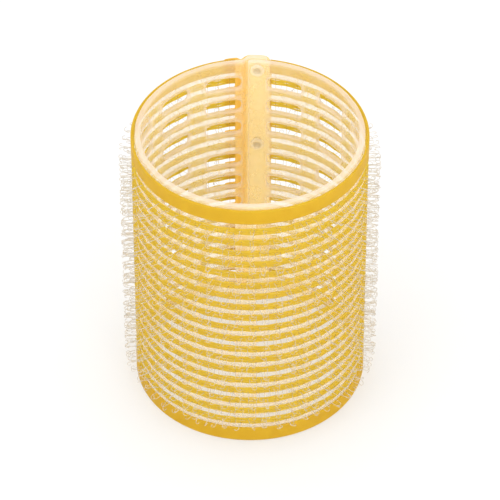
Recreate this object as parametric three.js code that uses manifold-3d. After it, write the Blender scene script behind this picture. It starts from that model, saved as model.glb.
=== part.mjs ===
// A self-grip hair roller: a lattice sheet of clear polypropylene, rolled into a tube and buttoned
// along a lap, inside a sleeve of open hook cloth. Rows of yellow yarn run round the sleeve, thin
// weft threads tie the rows together, and a row of stiff clear hooks stands on each of them. The
// sleeve ends in a fused hem at each rim and closes in a fused lap.
// Millimetres, +Z up the tube. The origin is the centre of the bottom face, and the lap lies
// towards +Y.
import * as THREE from 'three';
import { mergeVertices } from 'three/addons/utils/BufferGeometryUtils.js';
import Module from 'manifold-3d';

const wasm = await Module();
wasm.setup();

// ---- Driving dimensions ----

const coreHeight = 60.5;
const coreRadius = 22; // to the outside of the rolled sheet
const coreWall = 1.2;
const runningGap = 0.05; // between layers that lie on each other

const windowColumns = 12;
const windowGroups = 3;
const windowsPerGroup = 3; // up each column, in each group
const endBand = 3.8; // plain sheet at each rim
const middleBand = 5.3; // plain sheet between two groups
const crossBar = 2.7; // between two windows of a group
const post = 3.75; // between two columns, measured round the outside

const lapWidth = 3.7; // how far one end of the sheet lies over the other
const lapGap = 0.1;
const joggle = 1.2; // the run in which the outer end steps out over the inner one
const buttonPin = 0.8; // radius
const buttonHole = 1;
const buttonHead = 1.4;
const buttonHeadHeight = 0.5;

const bareRim = 0.4; // core left showing past each hem
const hemHeight = 3.4;
const yarnRows = 19;
const rowGap = 1.05; // open cloth between two rows
const clothThickness = 0.45;
const threadThickness = 0.2;
const threadWidth = 0.3;
const weftThreads = 60;
const hookLength = 2.4;
const hookRowThickness = 0.3;

const fusedThickness = 0.6; // of the fused lap, over the core's own lap
const fusedMargin = 1.2; // of the fused lap, past each side of the core's lap
const clothTail = 2; // the part of each row that lies over the row's own beginning
const drapeRun = 0.8; // the run in which the fused lap climbs the cut end of the core

const fineStep = THREE.MathUtils.degToRad(12); // the turn of one flat of the core and the cloth
const coarseStep = THREE.MathUtils.degToRad(15); // and of one flat of a row of hooks

// ---- Worked-out places ----

const turn = (length) => length / coreRadius; // the angle that an arc of this length takes
const bore = coreRadius - coreWall;
const lapHalf = turn(lapWidth) / 2;
const lapInside = coreRadius + lapGap;
const lapOutside = lapInside + coreWall;
const joggleTop = lapHalf + turn(lapGap);
const joggleFoot = joggleTop + turn(joggle);

const threadInside = coreRadius + runningGap;
const threadOutside = threadInside + threadThickness;
const clothInside = threadOutside + runningGap;
const clothOutside = clothInside + clothThickness;
const tailInside = clothOutside + runningGap;
const tailOutside = tailInside + clothThickness;
const hookInside = clothOutside + runningGap;
const hookOutside = hookInside + hookLength;

const fusedStart = -lapHalf - turn(fusedMargin);
const fusedEnd = joggleFoot + turn(fusedMargin);
const clothStart = fusedEnd + turn(runningGap);
const clothEnd = 2 * Math.PI + fusedStart - turn(runningGap);
const hookStart = clothStart + turn(clothTail + runningGap);

const sleeveHeight = coreHeight - 2 * bareRim;
const rowHeight = (sleeveHeight - 2 * hemHeight - (yarnRows + 1) * rowGap) / yarnRows;
const rowPitch = rowHeight + rowGap;
const firstRow = bareRim + hemHeight + rowGap;
const topHem = coreHeight - bareRim - hemHeight;

const windowRows = windowGroups * windowsPerGroup;
const crossBars = windowGroups * (windowsPerGroup - 1);
const solidHeight = 2 * endBand + (windowGroups - 1) * middleBand + crossBars * crossBar;
const windowHeight = (coreHeight - solidHeight) / windowRows;
const groupPitch = windowsPerGroup * windowHeight + (windowsPerGroup - 1) * crossBar + middleBand;
const windowSpan = 2 * Math.PI - joggleFoot - lapHalf;
const windowTurn = (windowSpan - (windowColumns - 1) * turn(post)) / windowColumns;

// ---- Helpers ----

// A point at this radius, at an angle counted from the middle of the lap.
function polar(radius, angle) {
  return new THREE.Vector2(-radius * Math.sin(angle), radius * Math.cos(angle));
}

// Points along an arc, whose flats are no longer than one step. An outer arc has its corners on the
// circle and an inner one has its flats on it, so that a layer never reaches into the layer under it.
function arc(radius, from, to, step = fineStep, inner = false) {
  const flats = Math.max(1, Math.ceil(Math.abs(to - from) / step - 1e-6));
  const flat = (to - from) / flats;
  const cornerRadius = inner ? radius / Math.cos(flat / 2) : radius;
  return Array.from({ length: flats + 1 }, (_, i) => polar(cornerRadius, from + i * flat));
}

// An upright prism over a closed outline.
function prism(outline, bottom, height) {
  const shape = new THREE.Shape(outline);
  const geometry = new THREE.ExtrudeGeometry(shape, { depth: height, bevelEnabled: false });
  return geometry.translate(0, 0, bottom);
}

// An open ring: a layer of cloth or hooks that runs from one angle round to another.
function openRing(inside, outside, from, to, bottom, height, step = fineStep) {
  const outline = [...arc(inside, from, to, step, true), ...arc(outside, to, from, step)];
  return prism(outline, bottom, height);
}

function solidOf(geometry) {
  const bare = geometry.index ? geometry.toNonIndexed() : geometry.clone();
  bare.deleteAttribute('normal');
  bare.deleteAttribute('uv');
  const merged = mergeVertices(bare, 1e-4);
  const triVerts = new Uint32Array(merged.index.array);
  const vertProperties = new Float32Array(merged.attributes.position.array);
  return new wasm.Manifold(new wasm.Mesh({ numProp: 3, vertProperties, triVerts }));
}

function geometryOf(solid) {
  const { vertProperties, triVerts } = solid.getMesh();
  const indexed = new THREE.BufferGeometry();
  indexed.setAttribute('position', new THREE.BufferAttribute(vertProperties, 3));
  indexed.setIndex(new THREE.BufferAttribute(triVerts, 1));
  const geometry = indexed.toNonIndexed();
  geometry.computeVertexNormals();
  return geometry;
}

function joined(geometries) {
  return geometries.map(solidOf).reduce((whole, piece) => whole.add(piece));
}

// A round bar that points at the tube's axis through the middle of the lap, between two radii.
function radialBar(radius, from, to, height) {
  return new THREE.CylinderGeometry(radius, radius, to - from, 12).translate(0, (from + to) / 2, height);
}

// ---- Core ----

// The plan of the rolled sheet. It starts at the tip of the inner end, goes once round, steps out in
// the joggle and lies over the inner end.
function sheetOutline() {
  return [
    ...arc(bore, lapHalf, joggleFoot - 2 * Math.PI, fineStep, true),
    ...arc(lapInside, joggleTop, -lapHalf, fineStep, true),
    ...arc(lapOutside, -lapHalf, joggleTop),
    ...arc(coreRadius, joggleFoot - 2 * Math.PI, lapHalf),
  ];
}

// Where each row of windows starts, from the bottom up.
function windowBottoms() {
  return Array.from({ length: windowRows }, (_, row) => {
    const group = Math.floor(row / windowsPerGroup);
    return endBand + group * groupPitch + (row % windowsPerGroup) * (windowHeight + crossBar);
  });
}

// The middle of each band of plain sheet, where the lap has its buttons.
function bandMiddles() {
  const firstMiddle = endBand + groupPitch - middleBand / 2;
  const inner = Array.from({ length: windowGroups - 1 }, (_, i) => firstMiddle + i * groupPitch);
  return [endBand / 2, ...inner, coreHeight - endBand / 2];
}

function windowCutters() {
  const middle = bore + coreWall / 2;
  const width = 2 * middle * Math.sin(windowTurn / 2);
  const depth = 4 * coreWall;
  const cutters = [];
  for (let column = 0; column < windowColumns; column++) {
    const angle = joggleFoot + windowTurn / 2 + column * (windowTurn + turn(post));
    for (const bottom of windowBottoms()) {
      const cutter = new THREE.BoxGeometry(width, depth, windowHeight);
      cutters.push(cutter.translate(0, middle, bottom + windowHeight / 2).rotateZ(angle));
    }
  }
  return cutters;
}

// A button is moulded on the outer end of the sheet: its pin goes through a hole in the inner end,
// and its head holds that end from inside.
function buttons() {
  const seat = bore - runningGap;
  return bandMiddles().flatMap((height) => [
    radialBar(buttonPin, seat - buttonHeadHeight, lapInside + coreWall / 2, height),
    radialBar(buttonHead, seat - buttonHeadHeight, seat, height),
  ]);
}

function coreLattice() {
  const holeTop = coreRadius + lapGap / 2;
  const holes = bandMiddles().map((height) => radialBar(buttonHole, bore - coreWall, holeTop, height));
  const cutters = joined([...windowCutters(), ...holes]);
  const sheet = solidOf(prism(sheetOutline(), 0, coreHeight));
  return geometryOf(sheet.subtract(cutters).add(joined(buttons())));
}

// ---- Sleeve ----

// The weft threads run up the sleeve behind the rows of yarn, and are fused into one edge behind each hem.
function weftCage() {
  const edges = [bareRim, topHem].map((bottom) =>
    openRing(threadInside, threadOutside, clothStart, clothEnd, bottom, hemHeight));
  const spacing = (clothEnd - clothStart) / weftThreads;
  const flatRadius = threadOutside - threadThickness / 2;
  const threads = Array.from({ length: weftThreads }, (_, i) =>
    new THREE.BoxGeometry(threadWidth, threadThickness * 0.6, sleeveHeight - hemHeight)
      .translate(0, flatRadius, coreHeight / 2)
      .rotateZ(clothStart + (i + 0.5) * spacing));
  return geometryOf(joined([...edges, ...threads]));
}

function yarnRow(bottom, height) {
  return openRing(clothInside, clothOutside, clothStart, clothEnd, bottom, height);
}

function hookRow(bottom) {
  const middle = bottom + (rowHeight - hookRowThickness) / 2;
  return openRing(hookInside, hookOutside, hookStart, clothEnd, middle, hookRowThickness, coarseStep);
}

// The plan of the fused lap. It climbs the cut end of the core's lap, lies over it and comes down
// the joggle.
function fusedOutline() {
  const foot = coreRadius + runningGap;
  const crest = lapOutside + runningGap;
  const crestStart = -lapHalf - turn(runningGap);
  return [
    polar(foot, fusedStart),
    polar(foot, crestStart - turn(drapeRun)),
    ...arc(crest, crestStart, joggleTop, fineStep, true),
    polar(foot, joggleFoot),
    polar(foot, fusedEnd),
    polar(tailOutside, fusedEnd),
    ...arc(crest + fusedThickness, joggleTop, crestStart),
    polar(foot + fusedThickness, fusedStart),
  ];
}

// The fused lap with the tails of the rows and hems, which lie over the beginnings of the same rows
// and hems.
function fusedLap() {
  const strip = prism(fusedOutline(), bareRim, sleeveHeight);
  const tailStart = fusedEnd - turn(fusedMargin) / 2;
  const tail = (bottom, height) =>
    openRing(tailInside, tailOutside, tailStart, clothStart + turn(clothTail), bottom, height);
  const rowTails = Array.from({ length: yarnRows }, (_, i) => tail(firstRow + i * rowPitch, rowHeight));
  return geometryOf(joined([strip, ...rowTails, tail(bareRim, hemHeight), tail(topHem, hemHeight)]));
}

// ---- Assembly ----

const clearPlastic = new THREE.MeshStandardMaterial({ color: 0xf3e6d2, roughness: 0.35, metalness: 0 });
const yellowCloth = new THREE.MeshStandardMaterial({ color: 0xf0b429, roughness: 0.7, metalness: 0 });
const fusedCloth = new THREE.MeshStandardMaterial({ color: 0xe8a91c, roughness: 0.45, metalness: 0 });
const clearNylon = new THREE.MeshStandardMaterial({ color: 0xfaf3e4, roughness: 0.25, metalness: 0 });

const roller = new THREE.Group();

function addPiece(name, geometry, material) {
  const mesh = new THREE.Mesh(geometry, material);
  mesh.name = name;
  roller.add(mesh);
}

addPiece('core_lattice', coreLattice(), clearPlastic);
addPiece('weft_threads', weftCage(), clearNylon);
addPiece('bottom_hem', yarnRow(bareRim, hemHeight), fusedCloth);
addPiece('top_hem', yarnRow(topHem, hemHeight), fusedCloth);
addPiece('fused_lap', fusedLap(), fusedCloth);
for (let i = 0; i < yarnRows; i++) {
  const number = String(i + 1).padStart(2, '0');
  const bottom = firstRow + i * rowPitch;
  addPiece(`yarn_row_${number}`, yarnRow(bottom, rowHeight), yellowCloth);
  addPiece(`hook_row_${number}`, hookRow(bottom), clearNylon);
}

export default roller;
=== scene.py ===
# %% [markdown]
# # A self-grip hair roller
#
# The roller is a tube of milky plastic lattice inside a sleeve of yellow hook cloth. The lattice is
# one moulded sheet, rolled up and buttoned along a lap. The sleeve is a band of open cloth:
# nineteen ribs of yellow yarn run round it, thin clear threads run along it and tie the ribs
# together, and a row of stiff clear hooks stands on each rib. Its ends are fused flat over the lap.
#
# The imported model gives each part's place and size. Every piece below takes its own from there, in
# metres, with the tube's foot on the floor at the origin, +Z up the tube, and the lap towards +Y.

# %% Load the frame
import math

import bpy
import numpy as np
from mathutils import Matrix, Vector


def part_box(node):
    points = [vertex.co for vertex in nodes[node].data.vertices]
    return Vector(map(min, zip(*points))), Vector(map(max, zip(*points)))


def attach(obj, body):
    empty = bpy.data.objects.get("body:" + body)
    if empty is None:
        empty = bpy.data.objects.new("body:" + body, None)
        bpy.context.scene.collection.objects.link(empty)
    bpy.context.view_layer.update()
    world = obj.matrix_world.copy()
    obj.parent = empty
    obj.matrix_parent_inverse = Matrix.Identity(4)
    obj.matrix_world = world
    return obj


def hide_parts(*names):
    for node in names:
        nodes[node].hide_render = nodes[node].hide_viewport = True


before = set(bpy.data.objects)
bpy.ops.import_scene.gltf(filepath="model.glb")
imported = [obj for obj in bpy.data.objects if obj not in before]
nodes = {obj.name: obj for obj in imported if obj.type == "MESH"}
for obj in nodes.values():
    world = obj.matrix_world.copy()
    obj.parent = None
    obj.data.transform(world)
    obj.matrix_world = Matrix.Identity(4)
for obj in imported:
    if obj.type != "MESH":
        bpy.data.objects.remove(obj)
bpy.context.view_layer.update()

# %% [markdown]
# ## Sizes
#
# The outer sizes are read from the frame, and the few that a box can't tell are the maker's own.
# Lengths round the tube are turned into angles once, on the core's outer face, so that the windows,
# the lap and the cloth keep the same places on every layer.

# %% Sizes from the frame
mm = 0.001
core_low, core_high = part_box("core_lattice")
core_height = core_high.z
core_radius = (core_high.x - core_low.x) / 2
core_wall = 1.2 * mm

row_numbers = [name[-2:] for name in sorted(nodes) if name.startswith("yarn_row")]
row_boxes = [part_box("yarn_row_" + number) for number in row_numbers]
row_middles = [(low.z + high.z) / 2 for low, high in row_boxes]
row_height = row_boxes[0][1].z - row_boxes[0][0].z
row_pitch = row_middles[1] - row_middles[0]
cloth_radius = (row_boxes[0][1].x - row_boxes[0][0].x) / 2
cloth_thickness = 0.45 * mm
hook_tip = (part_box("hook_row_01")[1].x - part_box("hook_row_01")[0].x) / 2
print(f"{len(row_numbers)} rows of {row_height / mm:.2f} mm, one every {row_pitch / mm:.2f} mm")

# %% Sizes of the lattice and its lap
window_columns = 12
window_groups = 3
windows_per_group = 3
end_band = 3.8 * mm
middle_band = 5.3 * mm
cross_bar = 2.7 * mm
post = 3.75 * mm

lap_width = 3.7 * mm
lap_gap = 0.1 * mm
joggle = 1.2 * mm
fused_margin = 1.2 * mm
tip_margin = 0.55 * mm
cloth_tail = 2.0 * mm


def turn(length):
    """The angle that an arc of this length takes on the core's outer face."""
    return length / core_radius


window_rows = window_groups * windows_per_group
bars = window_groups * (windows_per_group - 1) * cross_bar
window_height = (core_height - 2 * end_band - (window_groups - 1) * middle_band - bars) / window_rows
lap_half = turn(lap_width) / 2
joggle_top = lap_half + turn(lap_gap)
joggle_foot = joggle_top + turn(joggle)
plain_turn = joggle_foot + lap_half + (window_columns - 1) * turn(post)
window_turn = (2 * math.pi - plain_turn) / window_columns
fused_start = -lap_half - turn(tip_margin)
fused_end = joggle_foot + turn(fused_margin)
cloth_end = 2 * math.pi + fused_start
print(f"windows of {window_turn * core_radius / mm:.2f} by {window_height / mm:.2f} mm")

# %% [markdown]
# ## Directions round the tube
#
# Angles are counted from the middle of the lap, anticlockwise from above. At each angle there are
# three directions at right angles: outward, round and up. All the shapes are built from these,
# whole arrays at a time.

# %% Directions


def outward(angle):
    """The direction away from the axis at each angle: (-sin, cos, 0)."""
    return np.stack([-np.sin(angle), np.cos(angle), np.zeros_like(angle)], axis=-1)


def round_the_tube(angle):
    """The direction of growing angle: (-cos, -sin, 0), a quarter turn on from outward."""
    return np.stack([-np.cos(angle), -np.sin(angle), np.zeros_like(angle)], axis=-1)


up = np.array([0.0, 0.0, 1.0])


def place(radius, angle, height):
    """The point at this radius, angle and height, for numbers or whole arrays."""
    radius, angle, height = np.broadcast_arrays(radius, angle, height)
    return radius[..., None] * outward(angle) + height[..., None] * up


# %% [markdown]
# ## From arrays to meshes
#
# Blender takes a mesh fastest as flat arrays. Everything here is made of four-sided faces, so one
# function can fill them in, with a UV map where a pattern has to follow the surface and numbers at
# the vertices where a finish needs to know a place. Each new mesh rides on the roller's one body
# and stands for the CAD nodes that it replaces.

# %% Meshes from arrays


def flat(values, kind):
    """An array as one long row of numbers of this kind, which is what foreach_set takes."""
    return np.ascontiguousarray(values, dtype=kind).ravel()


def make_piece(name, vertices, faces, uv=None, marks=None, stands_for=()):
    """A mesh from vertices (n, 3) and four-sided faces (m, 4), with uv (m, 4, 2) and named numbers
    at the vertices."""
    mesh = bpy.data.meshes.new(name)
    mesh.vertices.add(len(vertices))
    mesh.vertices.foreach_set("co", flat(vertices, np.float32))
    mesh.loops.add(faces.size)
    mesh.loops.foreach_set("vertex_index", flat(faces, np.int32))
    mesh.polygons.add(len(faces))
    mesh.polygons.foreach_set("loop_start", np.arange(0, faces.size, 4, dtype=np.int32))
    mesh.update(calc_edges=True)
    mesh.polygons.foreach_set("use_smooth", np.ones(len(faces), dtype=bool))
    if uv is not None:
        mesh.uv_layers.new(name="along").data.foreach_set("uv", flat(uv, np.float32))
    for mark, values in (marks or {}).items():
        layer = mesh.attributes.new(mark, "FLOAT", "POINT")
        layer.data.foreach_set("value", flat(values, np.float32))
    mesh.validate()
    piece = bpy.data.objects.new(name, mesh)
    bpy.context.scene.collection.objects.link(piece)
    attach(piece, "root")
    if stands_for:
        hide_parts(*stands_for)
    return piece


# %% [markdown]
# ## A sheet with holes
#
# The lattice and the fused lap are both sheets that bend round the tube and have holes in them.
# Such a sheet is a grid of cells, some of them missing, with an outer face, an inner face, and
# walls wherever a cell has no neighbour. Working on the grid keeps the holes exact, and no solid
# has to be cut from another.

# %% A sheet with holes


def walls_between(kept, outer, inner):
    """Wall quads across the first axis of the grid: a quad wherever one of two neighbouring cells
    is missing."""
    padded = np.pad(kept, ((1, 1), (0, 0)))
    before, after = padded[:-1], padded[1:]
    line, cell = np.nonzero(before & ~after)
    end_corners = [outer[line, cell], inner[line, cell], inner[line, cell + 1], outer[line, cell + 1]]
    line, cell = np.nonzero(~before & after)
    start_corners = [outer[line, cell], outer[line, cell + 1], inner[line, cell + 1], inner[line, cell]]
    return np.concatenate([np.stack(end_corners, axis=1), np.stack(start_corners, axis=1)])


def pierced_sheet(kept, outside, inside):
    """Vertices, faces and rim marks of a sheet. kept says which cells are there, outside and inside
    are the grid's points on its two faces. A vertex is on the rim, and marked 1, where one of the
    four cells round it is missing."""
    columns, rows = kept.shape
    outer = np.arange((columns + 1) * (rows + 1)).reshape(columns + 1, rows + 1)
    inner = outer + outer.size
    across, along = np.nonzero(kept)
    out_faces = np.stack([outer[across, along], outer[across + 1, along],
                          outer[across + 1, along + 1], outer[across, along + 1]], axis=1)
    in_faces = out_faces[:, ::-1] + outer.size
    side_walls = walls_between(kept, outer, inner)
    end_walls = walls_between(kept.T, outer.T, inner.T)[:, ::-1]
    faces = np.concatenate([out_faces, in_faces, side_walls, end_walls])
    padded = np.pad(kept, 1)
    whole = padded[:-1, :-1] & padded[1:, :-1] & padded[:-1, 1:] & padded[1:, 1:]
    rim = np.tile((~whole).ravel().astype(float), 2)
    vertices = np.concatenate([outside.reshape(-1, 3), inside.reshape(-1, 3)])
    used, numbers = np.unique(faces, return_inverse=True)
    return vertices[used], numbers.reshape(faces.shape), rim[used]


def cell_lines(spans, rim):
    """Where the grid's lines go along a row of spans, each (length, cells, open). A solid span has
    a narrow cell at both ends, so that a smoothed rim stays crisp. Returns the lines and whether
    each cell is open."""
    steps, is_open = [], []
    for length, cells, gap in spans:
        if gap:
            steps += [length / cells] * cells
            is_open += [True] * cells
        else:
            steps += [rim] + [(length - 2 * rim) / cells] * cells + [rim]
            is_open += [False] * (cells + 2)
    return np.concatenate([[0.0], np.cumsum(steps)]), np.array(is_open)


# %% [markdown]
# ## The core lattice
#
# The core is injection-moulded flat, as a sheet of natural polypropylene with twelve columns of
# windows, in three groups up the tube. It is then rolled until its ends lap. Going round, the sheet
# keeps one radius until it is back at its own beginning, steps outward by its thickness over the
# joggle, and lies on the inner end. A smooth step gives the soft bend that plastic takes, and a
# quarter ellipse takes the corner off each tip, so that the lap shows as a low rounded hump. One
# level of subdivision then rounds every window as the mould does.

# %% The core lattice
rim_width = 0.22 * mm
bend_lead = 0.5 * mm
tip_run = 1.3 * mm
tip_fall = 0.9 * mm
inner_run = 1.0 * mm
inner_fall = 0.6 * mm
bend_start = joggle_top - turn(bend_lead)


def core_columns():
    """The spans round the sheet as angles, from the tip of the outer end to that of the inner."""
    outer_end = (lap_half + joggle_foot, 20, False)
    windows = [(window_turn, 4, True), (turn(post), 1, False)] * window_columns
    inner_end = (2 * lap_half, 10, False)
    return [outer_end] + windows[:-1] + [inner_end]


def core_rows():
    """The spans up the sheet, as heights."""
    group = [(window_height, 1, True), (cross_bar, 1, False)] * windows_per_group
    spans = [(end_band, 1, False)]
    for _ in range(window_groups):
        spans += group[:-1] + [(middle_band, 1, False)]
    return spans[:-1] + [(end_band, 1, False)]


def smooth_step(share):
    """0 up to a share of 0, 1 from a share of 1, and an even S-curve between."""
    share = np.clip(share, 0, 1)
    return share * share * (3 - 2 * share)


def step_out(angle):
    """How far the sheet stands out from its usual radius: its own thickness over the lap, falling
    in the joggle."""
    return (core_wall + lap_gap) * (1 - smooth_step((angle - bend_start) / (joggle_foot - bend_start)))


def rounded(distance, run, fall):
    """How far a face falls away near a tip, as a quarter ellipse:
    fall * (1 - sqrt(1 - (1 - distance / run)^2))."""
    share = np.clip(distance / run, 0, 1)
    return fall * (1 - np.sqrt(1 - (1 - share) ** 2))


def tip_drop(angle):
    """Both tips of the sheet are rounded on their outer face."""
    outer_tip = rounded((angle + lap_half) * core_radius, tip_run, tip_fall)
    inner_tip = rounded((2 * math.pi + lap_half - angle) * core_radius, inner_run, inner_fall)
    return outer_tip + inner_tip


def make_core():
    travel, open_columns = cell_lines(core_columns(), turn(rim_width))
    heights, open_rows = cell_lines(core_rows(), rim_width)
    angle, height = np.meshgrid(travel - lap_half, heights, indexing="ij")
    kept = ~(open_columns[:, None] & open_rows[None, :])
    outside = place(core_radius + step_out(angle) - tip_drop(angle), angle, height)
    inside = place(core_radius - core_wall + step_out(angle), angle, height)
    vertices, faces, rim = pierced_sheet(kept, outside, inside)
    core = make_piece("core_sheet", vertices, faces, marks={"rim": rim}, stands_for=["core_lattice"])
    smoothing = core.modifiers.new("moulded edges", "SUBSURF")
    smoothing.levels = smoothing.render_levels = 1
    return core


core = make_core()
print("core sheet:", len(core.data.polygons), "faces before smoothing")

# %% [markdown]
# ## Round things: caps and turned shapes
#
# Threads, yarn and hooks are all thin bars carried along a path. Each is a tube of rings with the
# two ends closed. An even-sided ring closes with a strip of quads, so that the ends need no fan of
# thin triangles.

# %% Carried bars


def bar_faces(bars, rings, sides):
    """Faces of many bars at once. Their vertices are numbered bar by bar, ring by ring, point by
    point round the ring, and a ring's points turn from its first direction to its second, with the
    path as the third."""
    index = np.arange(bars * rings * sides).reshape(bars, rings, sides)
    ahead = np.roll(index, -1, axis=2)
    walls = np.stack([index[:, :-1], ahead[:, :-1], ahead[:, 1:], index[:, 1:]], axis=-1).reshape(-1, 4)
    step = np.arange(sides // 2 - 1)
    strip = np.stack([step, step + 1, sides - 2 - step, sides - 1 - step], axis=1)
    first = index[:, 0][:, strip[:, ::-1]].reshape(-1, 4)
    last = index[:, -1][:, strip].reshape(-1, 4)
    return np.concatenate([walls, first, last])


def bar_uv(bars, rings, sides, repeats=1.0):
    """A UV map for bar_faces: u runs along each bar and counts its repeats, v runs once round
    the ring."""
    ring, side = np.meshgrid(np.arange(rings - 1), np.arange(sides), indexing="ij")
    corners = [(ring, side), (ring, side + 1), (ring + 1, side + 1), (ring + 1, side)]
    maps = [np.stack([u / (rings - 1) * repeats, v / sides], axis=-1) for u, v in corners]
    walls = np.stack(maps, axis=-2).reshape(-1, 4, 2)
    caps = np.zeros((2 * (sides // 2 - 1), 4, 2))
    return np.concatenate([np.tile(walls, (bars, 1, 1)), np.tile(caps, (bars, 1, 1))])


def ring_points(centre, first, second, half_first, half_second, sides):
    """Points of an oval ring round each centre:
    centre + cos(t) * half_first * first + sin(t) * half_second * second."""
    t = np.arange(sides) * 2 * math.pi / sides
    wide = np.cos(t)[:, None] * np.expand_dims(half_first * first, -2)
    deep = np.sin(t)[:, None] * np.expand_dims(half_second * second, -2)
    return np.expand_dims(centre, -2) + wide + deep


# %% [markdown]
# ## The weave
#
# A rib is four strands of yarn side by side. Sixty clear threads run along the sleeve and pass
# behind one strand and in front of the next, so each strand bulges out where a thread is behind it.
# Both follow one cosine wave, the strands round the tube and the threads up it, and the waves are
# opposite, so they never meet. The threads make half a turn of the wave from one strand to the
# next, which puts their phase at a place in a rib and not at a height.

# %% Sizes of the weave
thread_count = 60
thread_radius = 0.07 * mm
strands_per_row = 4
strand_height = 0.93 * row_height / strands_per_row
strand_overlap = 1.04
strand_depth = 0.26 * mm
strand_wander = 0.012 * mm
strand_sides = 8
weave_radius = cloth_radius - cloth_thickness / 2
weave_depth = 0.07 * mm
thread_depth = 0.13 * mm
thread_seat = 0.04 * mm
thread_end_inset = 0.5 * mm
thread_rings = 400
cloth_start = fused_end
thread_angles = cloth_start + (np.arange(thread_count) + 0.5) * (cloth_end - cloth_start) / thread_count
rings_per_thread = 8


def over_under(angle):
    """+1 where a strand passes outside a thread, -1 where it passes inside, for an even strand."""
    share = (angle - cloth_start) / (cloth_end - cloth_start) * thread_count - 0.5
    return np.cos(math.pi * share)


# %% Yarn ribs


def make_yarn_row(number, middle, seed):
    """Four strands. Each is an oval ring carried round from one end of the cloth to the other, at a
    radius of weave_radius plus or minus weave_depth, with a slight slow wander in height."""
    wander = np.random.default_rng(seed)
    angle = np.linspace(cloth_start, cloth_end, thread_count * rings_per_thread + 1)
    strand = np.arange(strands_per_row)[:, None]
    sign = 1 - 2 * (strand % 2)
    phases = wander.uniform(0, 2 * math.pi, (strands_per_row, 3))
    drift = sum(np.sin(waves * angle + phases[:, [k]]) for k, waves in enumerate((5, 11, 23)))
    radius = weave_radius + weave_depth * sign * over_under(angle)
    height = middle + (strand - (strands_per_row - 1) / 2) * strand_height + strand_wander * drift
    centre = place(radius, np.broadcast_to(angle, radius.shape), height)
    out = np.broadcast_to(outward(angle), centre.shape)
    points = ring_points(centre, np.broadcast_to(up, centre.shape), out,
                         strand_overlap * strand_height / 2, strand_depth / 2, strand_sides)
    faces = bar_faces(strands_per_row, len(angle), strand_sides)
    uv = bar_uv(strands_per_row, len(angle), strand_sides, repeats=thread_count)
    return make_piece("yarn_rib_" + number, points.reshape(-1, 3), faces, uv=uv,
                      stands_for=["yarn_row_" + number])


yarn_rows = [make_yarn_row(number, middle, seed=10 + i)
             for i, (number, middle) in enumerate(zip(row_numbers, row_middles))]
print("yarn ribs:", len(yarn_rows), "of", len(yarn_rows[0].data.polygons), "faces")

# %% Weft threads


def thread_wave(height):
    """The threads' side of the weave: half a wave for each strand inside a rib, and straight
    across the gaps."""
    row = np.clip(np.round((height - row_middles[0]) / row_pitch), 0, len(row_middles) - 1)
    place_in_row = (height - row_middles[0] - row * row_pitch) / strand_height
    inside = np.abs(place_in_row) < strands_per_row / 2
    wave = np.cos(math.pi * (place_in_row + (strands_per_row - 1) / 2))
    return np.where(inside, wave, 0.0)


def make_threads():
    """Clear threads up the sleeve, each a round ring carried from hem to hem with the weave's wave."""
    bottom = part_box("weft_threads")[0].z + thread_end_inset
    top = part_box("weft_threads")[1].z - thread_end_inset
    height = np.linspace(bottom, top, thread_rings)
    side = 1 - 2 * (np.arange(thread_count) % 2)[:, None]
    radius = weave_radius - thread_depth * side * thread_wave(height) - thread_seat
    angle = np.broadcast_to(thread_angles[:, None], radius.shape)
    centre = place(radius, angle, np.broadcast_to(height, radius.shape))
    points = ring_points(centre, outward(angle), round_the_tube(angle), thread_radius, thread_radius, 4)
    return make_piece("sleeve_threads", points.reshape(-1, 3), bar_faces(thread_count, len(height), 4),
                      stands_for=["weft_threads"])


threads = make_threads()
print("threads:", len(threads.data.polygons), "faces")

# %% [markdown]
# ## The hooks
#
# The grip comes from stiff nylon monofilament. On the loom it is left standing in loops, and a
# blade cuts one side of each loop, which leaves a stem with a curled tip, like a cane. A hook is a
# thin four-sided bar carried up a straight stem and round most of a circle. The curls lean along
# the rib, one way and the other by turns, and no two are quite alike, so each hook draws its own
# lean, height and twist from a seeded source.

# %% Hooks
hooks_per_row = 108
filament = 0.11 * mm
curl_radius = 0.42 * mm
least_sweep, greatest_sweep = 170, 250
height_spread = 0.35 * mm
foot_spread = 0.05 * mm
foot_line = 0.25
bare_places = 3
stem_points = 3
curl_points = 6


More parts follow.
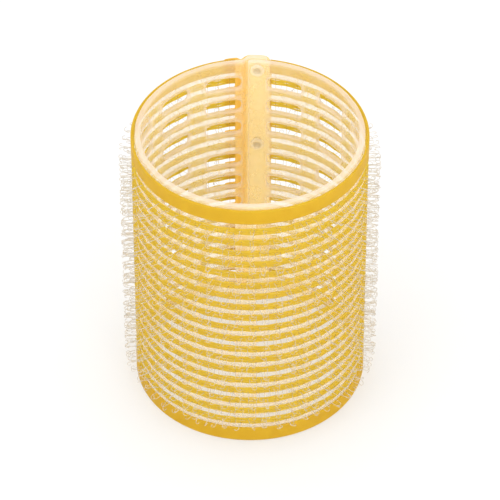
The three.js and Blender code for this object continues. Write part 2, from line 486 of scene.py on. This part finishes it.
def make_hook_row(number, middle, seed):
    """Every hook's path is worked out in its own plane, as a distance outward and a distance
    sideways: a straight stem, then an arc of about 210 degrees round a centre beside its top."""
    draw = np.random.default_rng(seed)
    spacing = (cloth_end - cloth_start) / hooks_per_row
    count = hooks_per_row - bare_places
    base = cloth_start + turn(cloth_tail) + (np.arange(count) + draw.uniform(0.2, 0.8, count)) * spacing
    line = draw.choice([-foot_line, foot_line], count)
    foot = middle + line * row_height + draw.normal(0, foot_spread, count)
    twist = draw.normal(0, 0.5, count) + math.pi * (np.arange(count) % 2)
    lean = draw.normal(0.12, 0.12, count)
    reach = hook_tip - cloth_radius - draw.uniform(0, height_spread, count)
    curl = draw.uniform(0.8, 1.15, count) * curl_radius
    sweep = np.radians(draw.uniform(least_sweep, greatest_sweep, count))

    stem_top = reach - curl
    along_stem = np.linspace(-0.15, 1, stem_points, endpoint=False)
    turned = np.linspace(0, 1, curl_points + 1)[None, :] * sweep[:, None]
    curl_rise = stem_top[:, None] + curl[:, None] * np.sin(turned)
    curl_aside = curl[:, None] * (1 - np.cos(turned))
    rise = np.concatenate([stem_top[:, None] * along_stem, curl_rise], axis=1)
    aside = np.concatenate([np.zeros((count, stem_points)), curl_aside], axis=1)
    aside = aside + np.tan(lean)[:, None] * rise
    path = np.stack([rise, aside], axis=-1)
    heading = np.gradient(path, axis=1)
    heading /= np.linalg.norm(heading, axis=-1, keepdims=True)

    out = outward(base)[:, None, :]
    sideways = (np.cos(twist)[:, None] * round_the_tube(base) + np.sin(twist)[:, None] * up)[:, None, :]
    start = place(cloth_radius, base, foot)[:, None, :]
    centre = start + rise[..., None] * out + aside[..., None] * sideways
    forward = heading[..., :1] * out + heading[..., 1:] * sideways
    across = np.broadcast_to(np.cross(out, sideways), forward.shape)
    points = ring_points(centre, np.cross(across, forward), across, filament / 2, filament / 2, 4)
    faces = bar_faces(count, stem_points + curl_points + 1, 4)
    return make_piece("hooks_" + number, points.reshape(-1, 3), faces,
                      stands_for=["hook_row_" + number])


hook_rows = [make_hook_row(number, middle, seed=100 + i)
             for i, (number, middle) in enumerate(zip(row_numbers, row_middles))]
print("hooks:", sum(len(row.data.polygons) for row in hook_rows), "faces in", len(hook_rows), "rows")

# %% [markdown]
# ## The fused hems
#
# Where the sleeve is cut to length, a hot blade melts the yarn into a smooth flat hem. It is a band
# with rounded edges, carried round from one end of the cloth to the other. Fine flow lines and a
# cut edge that wanders by a hair's breadth keep it from looking machined.

# %% Hems
hem_half_depth = cloth_thickness / 2
hem_wander = 0.02 * mm
hem_shrink = 0.012
hem_rings = 721


def rounded_band(half_height, half_depth, per_side, per_corner):
    """An oblong section with round ends, as distances up and outward, anticlockwise with up first."""
    corner = np.linspace(-math.pi / 2, math.pi / 2, per_corner)
    straight = np.linspace(-1, 1, per_side + 2)[1:-1]
    flat = half_height - half_depth
    top = np.stack([flat + half_depth * np.cos(corner), half_depth * np.sin(corner)], axis=1)
    outer = np.stack([-flat * straight, np.full(per_side, half_depth)], axis=1)
    return np.concatenate([top, outer, -top, -outer])


def make_hem(name, node, seed):
    """A rounded band carried round the sleeve. Four sines of the angle, each with its own phase,
    move it in and out and narrow it a little."""
    low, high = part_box(node)
    draw = np.random.default_rng(seed)
    angle = np.linspace(cloth_start, cloth_end, hem_rings)
    section = rounded_band((high.z - low.z) / 2, hem_half_depth, 11, 5)
    phases = draw.uniform(0, 2 * math.pi, 4)
    wander = sum(np.sin(waves * angle + phase) for waves, phase in zip((3, 7, 19, 41), phases)) / 4
    radius = weave_radius + section[None, :, 1] + hem_wander * wander[:, None]
    stretch = 1 - hem_shrink * (1 + wander[:, None])
    height = (low.z + high.z) / 2 + section[None, :, 0] * stretch
    points = place(radius, np.broadcast_to(angle[:, None], radius.shape), height)
    sides = len(section)
    faces = bar_faces(1, len(angle), sides)
    uv = bar_uv(1, len(angle), sides, repeats=thread_count)
    return make_piece(name, points.reshape(-1, 3), faces, uv=uv, stands_for=[node])


hems = [make_hem("hem_bottom", "bottom_hem", 1), make_hem("hem_top", "top_hem", 2)]
print("hems:", [len(hem.data.polygons) for hem in hems], "faces")

# %% [markdown]
# ## The fused lap
#
# The two ends of the sleeve meet over the lap of the core and are pressed with a hot bar. Yarn,
# threads and hooks melt into one smooth translucent strip, which climbs the cut end of the core and
# comes down its joggle. The soft strip bridges the sharp foot of each step, so its inner face is
# draped: a parabola hung from every place on the core, and the highest of them all taken. Past the
# strip, the last of each rib lies over its own beginning. The strip is a sheet with holes again:
# whole over the lap, with a gap between every two tails. Three marks go with it: its rim, where it
# is doubled, and where a button is pressed into it.

# %% The fused lap
strip_thickness = 0.4 * mm
tail_thickness = 0.22 * mm
drape = 1.1 / mm
clearance = 0.05 * mm
tuck = 0.35 * mm
doubled_edge = 0.4 * mm
climb = 0.9 * mm
ghost_depth = 0.03 * mm
button_reach = 1.5 * mm
tail_rim = 0.25 * mm
tail_end = cloth_start + turn(cloth_tail)
strip_start = fused_start - turn(tuck)


def strip_inside(angle):
    """The strip's inner radius. Over the lap it is draped: it takes, at each place s, the greatest
    of f(t) minus drape * (s - t)^2 over all places t, where f is the core's outer face. Past the
    lap it rises onto the cloth."""
    under = np.linspace(strip_start, joggle_foot, 200)
    face = np.where(under < -lap_half, 0, step_out(under) - tip_drop(under))
    away = (np.unique(angle)[:, None] - under[None, :]) * core_radius
    draped = np.maximum((face[None, :] - drape * away ** 2).max(axis=1), 0)
    on_cloth = (cloth_radius - core_radius) * smooth_step((angle - joggle_foot) / turn(climb))
    return core_radius + clearance + np.maximum(np.interp(angle, np.unique(angle), draped), on_cloth)


def band_middles():
    """The middle heights of the four plain bands."""
    group = windows_per_group * window_height + (windows_per_group - 1) * cross_bar + middle_band
    inner = [end_band + (i + 1) * group - middle_band / 2 for i in range(window_groups - 1)]
    return [end_band / 2] + inner + [core_height - end_band / 2]


def tail_lines():
    """Heights of the strip's lines, and whether the gap between two tails is open there."""
    low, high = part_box("bottom_hem")[0].z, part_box("top_hem")[1].z
    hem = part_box("bottom_hem")[1].z - low
    gap = row_pitch - row_height
    spans = [(hem, 4, False)]
    for _ in row_numbers:
        spans += [(gap, 2, True), (row_height, 2, False)]
    lines, is_open = cell_lines(spans + [(gap, 2, True), (hem, 4, False)], tail_rim)
    return low + lines, is_open


def make_lap_strip():
    """The strip from strip_inside out to its thickness, which is 0.3 of the whole at both edges and
    waves faintly with the ribs melted into it. A button's mark is exp(-(distance / reach)^2)."""
    heights, is_open = tail_lines()
    pressed = np.linspace(strip_start, fused_end, 35)
    tails = np.linspace(fused_end, tail_end, 8)[1:]
    angles = np.concatenate([pressed, tails])
    beyond = np.arange(len(angles) - 1) >= len(pressed) - 1
    angle, height = np.meshgrid(angles, heights, indexing="ij")
    inside = strip_inside(angle)
    ghost = np.cos((height - row_middles[0]) / row_pitch * 2 * math.pi)
    from_start = smooth_step((angle - fused_start) / turn(0.6 * mm))
    to_end = smooth_step((tail_end - angle) / turn(0.8 * mm))
    on_tail = smooth_step((angle - joggle_foot) / turn(climb))
    thickness = strip_thickness + (tail_thickness - strip_thickness) * on_tail + ghost_depth * ghost
    thickness = thickness * (0.3 + 0.7 * from_start * to_end)
    kept = ~(beyond[:, None] & is_open[None, :])
    vertices, faces, rim = pierced_sheet(kept, place(inside + thickness, angle, height),
                                         place(inside, angle, height))
    around = np.arctan2(-vertices[:, 0], vertices[:, 1])
    doubled = smooth_step((around - joggle_top) / turn(doubled_edge))
    aside, rise = around * core_radius, vertices[:, 2]
    button = sum(np.exp(-(aside ** 2 + (rise - z) ** 2) / button_reach ** 2) for z in band_middles())
    marks = {"rim": rim, "doubled": doubled, "button": button}
    strip = make_piece("lap_strip", vertices, faces, marks=marks,
                       stands_for=["fused_lap"])
    smoothing = strip.modifiers.new("pressed edges", "SUBSURF")
    smoothing.levels = smoothing.render_levels = 1
    return strip


lap_strip = make_lap_strip()
print("lap strip:", len(lap_strip.data.polygons), "faces before smoothing")

# %% [markdown]
# ## The snap buttons
#
# Four buttons hold the lap, one in each band of plain sheet. A pin moulded on the outer end goes
# through a hole in the inner end, and its hollow head spreads inside the tube. Each is a profile
# turned round the pin's own axis, which points at the tube's axis.

# %% Snap buttons
button_head = 1.4 * mm
button_pin = 0.8 * mm
head_edge = 0.3 * mm
head_seat = 0.02 * mm
bowl_rings = 3


def turned(profile, height, sides=24):
    """A profile of (distance from the pin's axis, radius on the tube) turned round a pin through
    the lap's middle. The first and last rings are closed."""
    t = np.arange(sides) * 2 * math.pi / sides
    away, radius = profile[:, 0], profile[:, 1]
    x = away[:, None] * np.cos(t)
    y = np.broadcast_to(radius[:, None], x.shape)
    z = height + away[:, None] * np.sin(t)
    return np.stack([x, y, z], axis=-1)


def make_button(number, height):
    """The profile: down the pin, out under the head, a quarter circle round the head's edge, and
    then a shallow bowl, whose rings are marked hollow."""
    seat = core_radius - core_wall - head_seat
    t = np.linspace(0, math.pi / 2, 5)
    side = np.stack([button_head - head_edge * (1 - np.cos(t)),
                     seat - 0.1 * mm - head_edge * np.sin(t)], axis=1)
    bowl = np.array([[0.85, 0.42], [0.7, 0.3], [0.5, 0.05], [0.2, 0.0]]) * mm
    bowl[:, 1] = seat - bowl[:, 1]
    neck = np.array([[button_pin, core_radius + lap_gap], [button_pin, seat], [button_head, seat]])
    profile = np.concatenate([neck, side, bowl])
    points = turned(profile, height)
    faces = bar_faces(1, len(profile), points.shape[1])
    in_bowl = np.arange(len(profile)) >= len(profile) - bowl_rings
    hollow = np.repeat(in_bowl.astype(float), points.shape[1])
    return make_piece(f"snap_button_{number}", points.reshape(-1, 3), faces, marks={"hollow": hollow})


buttons = [make_button(i + 1, height) for i, height in enumerate(band_middles())]
print("buttons:", len(buttons))

# %% [markdown]
# ## Shader maths in Python
#
# A finish is a set of nodes. Wrapping a socket in a small class lets the sums be written as sums:
# every operator adds its Math node and hands back a new wrapped socket. One method adds any other
# node, with its settings first and its sockets after.

# %% Shader maths


class Wire:
    """A number in a material that changes over the surface."""

    def __init__(self, finish, socket):
        self.finish = finish
        self.socket = socket

    def maths(self, operation, *values):
        return self.finish.node("ShaderNodeMath", {"operation": operation}, dict(enumerate(values)))

    def __add__(self, other):
        return self.maths("ADD", self, other)

    def __mul__(self, other):
        return self.maths("MULTIPLY", self, other)

    __radd__ = __add__
    __rmul__ = __mul__

    def sine(self):
        return self.maths("SINE", self)

    def above(self, low, high):
        """0 below low, 1 above high, and smooth between."""
        return self.finish.node("ShaderNodeMapRange", {"interpolation_type": "SMOOTHSTEP"},
                                {"Value": self, "From Min": low, "From Max": high})


class Finish:
    """One material: its nodes and its Principled shader, whose constants are set here."""

    def __init__(self, name, **constants):
        self.material = bpy.data.materials.new(name)
        self.material.use_nodes = True
        self.tree = self.material.node_tree
        self.shader = self.tree.nodes["Principled BSDF"]
        self.output = self.tree.nodes["Material Output"].inputs["Surface"]
        for socket, value in constants.items():
            self.shader.inputs[socket.replace("_", " ")].default_value = value

    def node(self, kind, settings=None, inputs=None, output=0):
        """Adds a node, sets its settings, then its sockets to values or wires, and returns one of
        its outputs."""
        node = self.tree.nodes.new(kind)
        for setting, value in (settings or {}).items():
            setattr(node, setting, value)
        for socket, value in (inputs or {}).items():
            if isinstance(value, Wire):
                self.tree.links.new(value.socket, node.inputs[socket])
            else:
                node.inputs[socket].default_value = value
        return Wire(self, node.outputs[output])

    def feed(self, socket, wire):
        self.tree.links.new(wire.socket, self.shader.inputs[socket])

    def place(self):
        """Object coordinates, in metres."""
        return self.node("ShaderNodeTexCoord", output="Object")

    def noise(self, scale, detail):
        """Smooth noise from 0 to 1, this many waves to a metre."""
        sockets = {"Vector": self.place(), "Scale": scale, "Detail": detail}
        return self.node("ShaderNodeTexNoise", {}, sockets)

    def mark(self, name):
        """A number that the mesh carries at its vertices."""
        return self.node("ShaderNodeAttribute", {"attribute_name": name}, output="Fac")

    def mix(self, share, first, second):
        """A colour between two others."""
        sockets = {0: share, 6: first, 7: second}
        return self.node("ShaderNodeMix", {"data_type": "RGBA"}, sockets, output=2)

    def bump(self, height, depth):
        """Shallow relief, depth metres deep where the height changes by one."""
        sockets = {"Height": height, "Distance": depth, "Strength": 1.0}
        self.feed("Normal", self.node("ShaderNodeBump", {}, sockets))

    def let_through(self, share, tint=None):
        """Sends this share of the light out at the far side, scattered, in this tint or in the
        surface's own colour."""
        glow = self.tree.nodes.new("ShaderNodeBsdfTranslucent")
        if tint:
            glow.inputs["Color"].default_value = tint
        else:
            own = self.shader.inputs["Base Color"].links[0].from_socket
            self.tree.links.new(own, glow.inputs["Color"])
        self.blend(share, self.shader, glow)

    def cover(self, share):
        """Hides this share of what is behind, and leaves the rest in view."""
        surface = self.output.links[0].from_node
        self.blend(share, self.tree.nodes.new("ShaderNodeBsdfTransparent"), surface)

    def blend(self, share, first, second):
        blend = self.tree.nodes.new("ShaderNodeMixShader")
        if isinstance(share, Wire):
            self.tree.links.new(share.socket, blend.inputs[0])
        else:
            blend.inputs[0].default_value = share
        self.tree.links.new(first.outputs[0], blend.inputs[1])
        self.tree.links.new(second.outputs[0], blend.inputs[2])
        self.tree.links.new(blend.outputs[0], self.output)

    def dress(self, *pieces):
        for piece in pieces:
            piece.data.materials.clear()
            piece.data.materials.append(self.material)


def colour(red, green, blue):
    """A screen colour from 0 to 255 as the linear numbers that shaders use."""
    screen = np.array([red, green, blue]) / 255
    linear = np.where(screen <= 0.04045, screen / 12.92, ((screen + 0.055) / 1.055) ** 2.4)
    return (*linear, 1.0)


# %% [markdown]
# ## Milky polypropylene
#
# Natural polypropylene lets light through but not a clear picture. A thin wall is cheaper to show
# as a pale surface than as a true scattering volume. Half of the light that falls on it comes out
# scattered at the far side, and most of the view goes straight through. The part that it hides
# grows at its edges, where the eye looks through more plastic, and they look whiter. The rim marks
# on the mesh say where the edges are. The buttons are the same plastic, with painted shade in the
# hollow of each head: the bowl is painted darker and hides more of what is behind.

# %% Finish of the core


def core_finish():
    finish = Finish("milky_polypropylene", Roughness=0.3, IOR=1.49)
    cloudy = finish.noise(260, 3).above(0.3, 0.7)
    rim = finish.mark("rim")
    tint = finish.mix(cloudy, colour(254, 242, 204), colour(255, 246, 216))
    finish.feed("Base Color", finish.mix(rim * 0.9, tint, colour(252, 243, 238)))
    finish.feed("Roughness", 0.28 + 0.12 * finish.noise(900, 2))
    finish.bump(finish.noise(500, 2), 0.05 * mm)
    finish.let_through(0.5)
    finish.cover(0.26 + 0.05 * cloudy + 0.34 * rim)
    return finish


def button_finish():
    finish = Finish("button_polypropylene", Roughness=0.25, IOR=1.49)
    hollow = finish.mark("hollow")
    # painted shade: the hollow of each head is painted darker, and below it hides more of the view
    finish.feed("Base Color", finish.mix(hollow, colour(255, 248, 232), colour(214, 204, 182)))
    finish.let_through(0.3)
    finish.cover(0.45 + 0.3 * hollow)
    return finish


core_finish().dress(core)
button_finish().dress(*buttons)

# %% [markdown]
# ## Yellow yarn
#
# The yarn is a bundle of fine bright filaments. Seen close it has a slanting twist and small shade
# changes from one bundle to the next. The UV map runs along each strand, so the twist follows it
# round the tube. Light that crosses a strand meets its surface twice, going in and coming out, and
# takes the tint each time, so the tint written here is much paler than the yarn looks. The fused
# cloth is the same material without its strands: smooth and deeper in the hems, paler in the
# pressed strip, and orange where the strip is doubled.

# %% Finish of the yarn
twists_along = 12
twists_round = 2


def yarn_finish():
    """The twist is a sine of twists_along turns a repeat along the strand and twists_round turns
    round it, so its stripes run aslant."""
    finish = Finish("yellow_yarn", Roughness=0.6, Specular_IOR_Level=0.2)
    along = finish.node("ShaderNodeUVMap", {"uv_map": "along"})
    parts = finish.tree.nodes.new("ShaderNodeSeparateXYZ")
    finish.tree.links.new(along.socket, parts.inputs[0])
    u, v = Wire(finish, parts.outputs[0]), Wire(finish, parts.outputs[1])
    slant = u * twists_along * 2 * math.pi + v * 2 * math.pi * twists_round
    twist = slant.sine() * 0.5 + 0.5
    fibres = finish.noise(5200, 2)
    bundles = finish.noise(700, 2).above(0.3, 0.7)
    deep = finish.mix(bundles, colour(204, 171, 42), colour(212, 181, 52))
    finish.feed("Base Color", finish.mix(twist * 0.35 + fibres * 0.4, deep, colour(226, 205, 98)))
    finish.feed("Roughness", 0.5 + 0.2 * fibres)
    finish.bump(twist * 0.6 + fibres * 0.4, 0.04 * mm)
    finish.let_through(0.6, colour(253, 239, 140))
    return finish


yarn_finish().dress(*yarn_rows)

# %% Finish of the fused cloth


def fused_finish():
    finish = Finish("fused_cloth", Roughness=0.45, Specular_IOR_Level=0.25)
    flow = finish.noise(420, 3)
    grain = finish.noise(2600, 2)
    shade = finish.mix(flow.above(0.35, 0.65), colour(198, 156, 22), colour(205, 166, 32))
    finish.feed("Base Color", finish.mix(grain * 0.3, shade, colour(221, 187, 70)))
    finish.feed("Roughness", 0.3 + 0.25 * flow)
    finish.bump(flow * 0.5 + grain * 0.5, 0.06 * mm)
    finish.let_through(0.5, colour(252, 236, 134))
    return finish


fused_finish().dress(*hems)


def strip_finish():
    finish = Finish("fused_strip", Roughness=0.35, Specular_IOR_Level=0.4)
    flow = finish.noise(420, 3)
    doubled = finish.mark("doubled")
    button = finish.mark("button")
    pressed = finish.mix(flow.above(0.35, 0.65), colour(228, 188, 80), colour(238, 206, 112))
    cloth = finish.mix(doubled, pressed, colour(236, 176, 50))
    pressed_in = button.above(0.3, 0.9) * 0.8
    finish.feed("Base Color", finish.mix(pressed_in, cloth, colour(244, 218, 188)))
    finish.feed("Roughness", 0.25 + 0.25 * flow)
    finish.bump(flow, 0.08 * mm)
    finish.let_through(0.6, colour(255, 236, 150))
    finish.cover(0.6 + 0.3 * doubled)
    return finish


strip_finish().dress(lap_strip)

# %% [markdown]
# ## Clear nylon
#
# The hooks and the threads are both clear nylon. A strand this thin shows as a pale line that is
# bright where it curves to the light, so it is given a pale body that lets part of the view
# through. The hooks stay nearly white, so that they show as a fine comb at the sides. The threads
# lie among the yarn, and their body is painted a little yellow: painted light, for the yellow that
# the yarn round them throws onto them and through them.

# %% Finish of the nylon


def nylon_finish(name, cover, darker, lighter):
    finish = Finish(name, IOR=1.53)
    shade = finish.noise(1500, 2)
    finish.feed("Base Color", finish.mix(shade, darker, lighter))
    finish.feed("Roughness", 0.3 + 0.2 * shade)
    finish.let_through(0.5)
    finish.cover(cover)
    return finish


nylon_finish("hook_nylon", 0.75, colour(222, 216, 206), colour(242, 237, 228)).dress(*hook_rows)
# painted light: the threads' pale yellow stands for light from the yarn round them
nylon_finish("thread_nylon", 0.4, colour(250, 228, 166), colour(253, 236, 186)).dress(threads)

# %% [markdown]
# ## The studio
#
# The roller stands on a pale sweep in soft light: a bright room all round, a broad lamp above and
# to the left, and another in front and to the right. The sweep glows a little, as if lit from
# below, so that the windows stay bright and hardly a shadow is left. The camera is far off with a
# long lens and looks down at about forty degrees, so the tube tapers only slightly.

# %% Floor and light
white = (1.0, 1.0, 1.0, 1.0)
room_light = 1.3
floor_shade = 0.5
floor_glow = 0.36
floor_half = 3.0
lamp_size = 0.5

world = bpy.data.worlds.new("studio")
world.use_nodes = True
background = world.node_tree.nodes["Background"]
background.inputs["Color"].default_value = white
background.inputs["Strength"].default_value = room_light
bpy.context.scene.world = world
bpy.context.scene.view_settings.view_transform = "Standard"
bpy.context.scene.cycles.transparent_max_bounces = 48


def make_floor():
    corners = [(-floor_half, -floor_half, 0), (floor_half, -floor_half, 0),
               (floor_half, floor_half, 0), (-floor_half, floor_half, 0)]
    mesh = bpy.data.meshes.new("floor")
    mesh.from_pydata(corners, [], [(0, 1, 2, 3)])
    floor = bpy.data.objects.new("floor", mesh)
    bpy.context.scene.collection.objects.link(floor)
    finish = Finish("pale_floor", Roughness=0.9)
    finish.shader.inputs["Base Color"].default_value = (floor_shade, floor_shade, floor_shade, 1.0)
    finish.shader.inputs["Emission Color"].default_value = white
    finish.shader.inputs["Emission Strength"].default_value = floor_glow
    finish.dress(floor)


def make_lamp(name, place_at, power):
    """A broad round lamp that faces the middle of the roller."""
    light = bpy.data.lights.new(name, "AREA")
    light.shape = "DISK"
    light.size = lamp_size
    light.energy = power
    lamp = bpy.data.objects.new(name, light)
    lamp.location = place_at
    lamp.rotation_euler = (middle - Vector(place_at)).to_track_quat("-Z", "Y").to_euler()
    bpy.context.scene.collection.objects.link(lamp)


make_floor()
middle = Vector((0, 0, core_height / 2))
make_lamp("key", (-0.35, -0.35, 0.75), 0.8)
make_lamp("fill", (0.4, -0.8, 0.3), 2.2)

# %% Camera
camera_height = 0.511
camera_away = 0.5386
camera_turn = math.radians(3.85)

lens = bpy.data.cameras.new("camera")
lens.lens = 266.0
lens.clip_start = 0.05
camera = bpy.data.objects.new("camera", lens)
camera.location = (camera_away * math.sin(camera_turn),
                   -camera_away * math.cos(camera_turn), camera_height)
camera.rotation_euler = (middle - camera.location).to_track_quat("-Z", "Y").to_euler()
bpy.context.scene.collection.objects.link(camera)
bpy.context.scene.camera = camera
